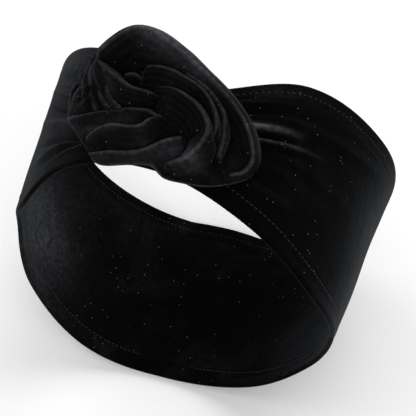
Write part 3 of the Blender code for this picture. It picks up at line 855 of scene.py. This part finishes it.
def make_wrap(name, first, last, material):
    """One wrap of the rosette: its folded face, its seat on the band and the walls between them."""
    columns = round((last[0] - first[0] + last[1] - first[1]) / 2 / WRAP_STEP) + 1
    shares = np.sin(np.linspace(0, 1, WRAP_ROWS) * math.pi / 2) ** RIM_CROWDING
    plan = wrap_plan(first, last, columns, shares)
    # The face's radius and the highlight painted into its colour
    radius, brushed_and_highlight = top_face(plan[..., 0], plan[..., 1])
    top = rosette_points(plan, radius)
    seat = rosette_points(plan, seats(plan[..., 0], plan[..., 1])[0])
    points = np.concatenate([top.reshape(-1, 3), seat.reshape(-1, 3)])
    painted_highlight = np.concatenate([brushed_and_highlight.ravel(), brushed_and_highlight.ravel() * 0])
    under = WRAP_ROWS * columns
    faces = grid_faces(WRAP_ROWS, columns) + grid_faces(WRAP_ROWS, columns, under, turned=True)
    for column in range(columns - 1):
        a = column
        b = (WRAP_ROWS - 1) * columns + column
        faces.append((a + 1, under + a + 1, under + a, a))
        faces.append((b, under + b, under + b + 1, b + 1))
    for row in range(WRAP_ROWS - 1):
        a = row * columns
        b = a + columns
        faces.append((a, under + a, under + b, b))
        a += columns - 1
        b += columns - 1
        faces.append((b, under + b, under + a, a))
    return add_piece(name + "_cloth", points, faces, material, name, painted_highlight)


class Nodes:
    """Short calls for a material's shader nodes."""

    def __init__(self, name):
        self.material = bpy.data.materials.new(name)
        self.material.use_nodes = True
        self.tree = self.material.node_tree
        self.shader = self.tree.nodes["Principled BSDF"]

    def add(self, kind, inputs=(), **settings):
        node = self.tree.nodes.new(kind)
        for key, value in settings.items():
            setattr(node, key, value)
        for key, value in dict(inputs).items():
            if isinstance(value, bpy.types.NodeSocket):
                self.tree.links.new(value, node.inputs[key])
            else:
                node.inputs[key].default_value = value
        return node

    def noise(self, kind, vector, **more):
        return self.add("ShaderNodeTexNoise", {"Vector": vector, **NOISES[kind], **more}).outputs["Fac"]

    def remap(self, value, low, high, to_low=0.0, to_high=1.0, **settings):
        inputs = {"Value": value, "From Min": low, "From Max": high, "To Min": to_low, "To Max": to_high}
        return self.add("ShaderNodeMapRange", inputs, **settings).outputs["Result"]

    def math(self, operation, first, second, **settings):
        node = self.add("ShaderNodeMath", {0: first, 1: second}, operation=operation, **settings)
        return node.outputs["Value"]

    def mix(self, factor, first, second):
        inputs = {"Factor": factor, MIX_FIRST: first, MIX_SECOND: second}
        return self.add("ShaderNodeMix", inputs, data_type="RGBA").outputs[MIX_RESULT]

    def bump(self, height, strength, distance, **more):
        inputs = {"Height": height, "Strength": strength, "Distance": distance, **more}
        return self.add("ShaderNodeBump", inputs).outputs["Normal"]

    def to_shader(self, socket, value):
        if isinstance(value, bpy.types.NodeSocket):
            self.tree.links.new(value, self.shader.inputs[socket])
        else:
            self.shader.inputs[socket].default_value = value


def velvet(name, dark, sheen, patch_scale, seed):
    """Black velvet: short pile brushed this way and that, a soft bloom at a slant, highlights painted into
    its colour at the places that each piece gives, and specks of lint.
    """
    nodes = Nodes(name)
    place = nodes.add("ShaderNodeTexCoord").outputs["Object"]
    shift = nodes.add("ShaderNodeVectorMath", {0: place, 1: (seed, seed, seed)}, operation="ADD")
    moved = shift.outputs["Vector"]
    patches = nodes.noise("patches", moved, Scale=patch_scale)
    pile = nodes.noise("pile", moved)
    tufts = nodes.noise("tufts", moved)
    lean = nodes.noise("lean", moved)
    brushed_and_highlight = nodes.remap(patches, BRUSHED_FROM, BRUSHED_TO, interpolation_type="SMOOTHSTEP")
    swept = nodes.math("MULTIPLY", brushed_and_highlight, PATCH_AMOUNT)
    # The highlight painted at each point of the piece, lightening the colour towards the pale one
    placed_highlight = nodes.add("ShaderNodeAttribute", attribute_name="painted_highlight", attribute_type="GEOMETRY").outputs["Fac"]
    mottled = nodes.remap(patches, NOISE_LOW, NOISE_HIGH, MOTTLE_LOW, MOTTLE_HIGH)
    both = nodes.math("ADD", swept, nodes.math("MULTIPLY", placed_highlight, mottled))
    grain = nodes.remap(tufts, NOISE_LOW, NOISE_HIGH, GRAIN_LOW)
    # Random brushed patches and the painted highlights both lighten the dark pile colour
    cloth = nodes.mix(nodes.math("MULTIPLY", both, grain, use_clamp=True), dark, BRUSHED_AND_HIGHLIGHT)
    cells = nodes.add("ShaderNodeTexVoronoi", {"Vector": moved, "Scale": LINT_CELLS}).outputs
    close = nodes.math("LESS_THAN", cells["Distance"], LINT_REACH)
    chosen = nodes.math("GREATER_THAN", cells["Color"], LINT_CHOICE)
    nodes.to_shader("Base Color", nodes.mix(nodes.math("MULTIPLY", close, chosen), cloth, LINT))
    leaning = nodes.bump(lean, LEAN_STRENGTH, LEAN_BUMP)
    short = nodes.math("ADD", pile, tufts)
    nodes.to_shader("Normal", nodes.bump(short, PILE_STRENGTH, PILE_BUMP, Normal=leaning))
    nodes.to_shader("Roughness", PILE_ROUGHNESS)
    nodes.to_shader("Specular IOR Level", PILE_SPECULAR)
    nodes.to_shader("Sheen Weight", sheen)
    nodes.to_shader("Sheen Roughness", SHEEN_ROUGHNESS)
    nodes.to_shader("Sheen Tint", SHEEN_TINT)
    return nodes.material


def thread():
    """Black sewing thread, a little glossier than the pile round it."""
    nodes = Nodes("stitch_thread")
    twist = nodes.noise("twist", nodes.add("ShaderNodeTexCoord").outputs["Object"])
    nodes.to_shader("Base Color", nodes.mix(twist, THREAD_DARK, THREAD_PALE))
    nodes.to_shader("Normal", nodes.bump(twist, THREAD_STRENGTH, THREAD_BUMP))
    nodes.to_shader("Roughness", THREAD_ROUGHNESS)
    return nodes.material


def make_floor():
    mesh = bpy.data.meshes.new("floor")
    corners = [(x * FLOOR_REACH, y * FLOOR_REACH, 0) for x, y in ((-1, -1), (1, -1), (1, 1), (-1, 1))]
    mesh.from_pydata(corners, [], [(0, 1, 2, 3)])
    floor = bpy.data.objects.new("floor", mesh)
    bpy.context.collection.objects.link(floor)
    nodes = Nodes("floor_paper")
    nodes.to_shader("Base Color", FLOOR_COLOUR)
    nodes.to_shader("Roughness", FLOOR_ROUGHNESS)
    mesh.materials.append(nodes.material)


def add_light(name, place, size, power):
    """A soft square light aimed at the headband's middle."""
    data = bpy.data.lights.new(name, "AREA")
    data.size = size
    data.energy = power
    light = bpy.data.objects.new(name, data)
    light.location = place
    aim = Vector((0, 0, CENTRE_HEIGHT)) - Vector(place)
    light.rotation_euler = aim.to_track_quat("-Z", "Y").to_euler()
    bpy.context.collection.objects.link(light)


def make_camera():
    azimuth, elevation, roll = (math.radians(x) for x in (CAMERA_AZIMUTH, CAMERA_ELEVATION, CAMERA_ROLL))
    back = Vector(
        (
            math.sin(azimuth) * math.cos(elevation),
            -math.cos(azimuth) * math.cos(elevation),
            math.sin(elevation),
        )
    )
    right = Vector((math.cos(azimuth), math.sin(azimuth), 0))
    up = back.cross(right)
    side = right * math.cos(roll) + up * math.sin(roll)
    rise = up * math.cos(roll) - right * math.sin(roll)
    data = bpy.data.cameras.new("camera")
    data.lens = CAMERA_LENS
    data.sensor_width = SENSOR
    data.shift_x = SHIFT_X
    data.shift_y = SHIFT_Y
    camera = bpy.data.objects.new("camera", data)
    place = Vector((0, 0, CENTRE_HEIGHT)) + back * CAMERA_DISTANCE
    camera.matrix_world = Matrix.Translation(place) @ Matrix((side, rise, back)).transposed().to_4x4()
    bpy.context.collection.objects.link(camera)
    bpy.context.scene.camera = camera


def light_scene():
    world = bpy.data.worlds.new("studio")
    world.use_nodes = True
    background = world.node_tree.nodes["Background"]
    background.inputs["Color"].default_value = WORLD_COLOUR
    background.inputs["Strength"].default_value = WORLD_STRENGTH
    bpy.context.scene.world = world
    bpy.context.scene.view_settings.view_transform = "Standard"
    for name, place, size, power in LIGHTS:
        add_light(name, place, size, power)


make_floor()
make_camera()
light_scene()
band_pile, hem_pile, rosette_pile = (velvet(*row) for row in PILES)
stitch_thread = thread()
band = make_band(band_pile)
near_roll = make_casing("near_casing_roll", 0, hem_pile, "near_hem")
far_roll = make_casing("far_casing_roll", 1, hem_pile, "far_hem")
near_stitches = make_stitches("near_casing_stitches", 0, NEAR_STITCH_INSET, stitch_thread)
far_stitches = make_stitches("far_casing_stitches", 1, FAR_STITCH_INSET, stitch_thread)
heart = make_heart(rosette_pile)
wraps = [
    make_wrap(name, first, last, rosette_pile) for name, first, last in zip(WRAPS, SEAMS, SEAMS[1:])
]
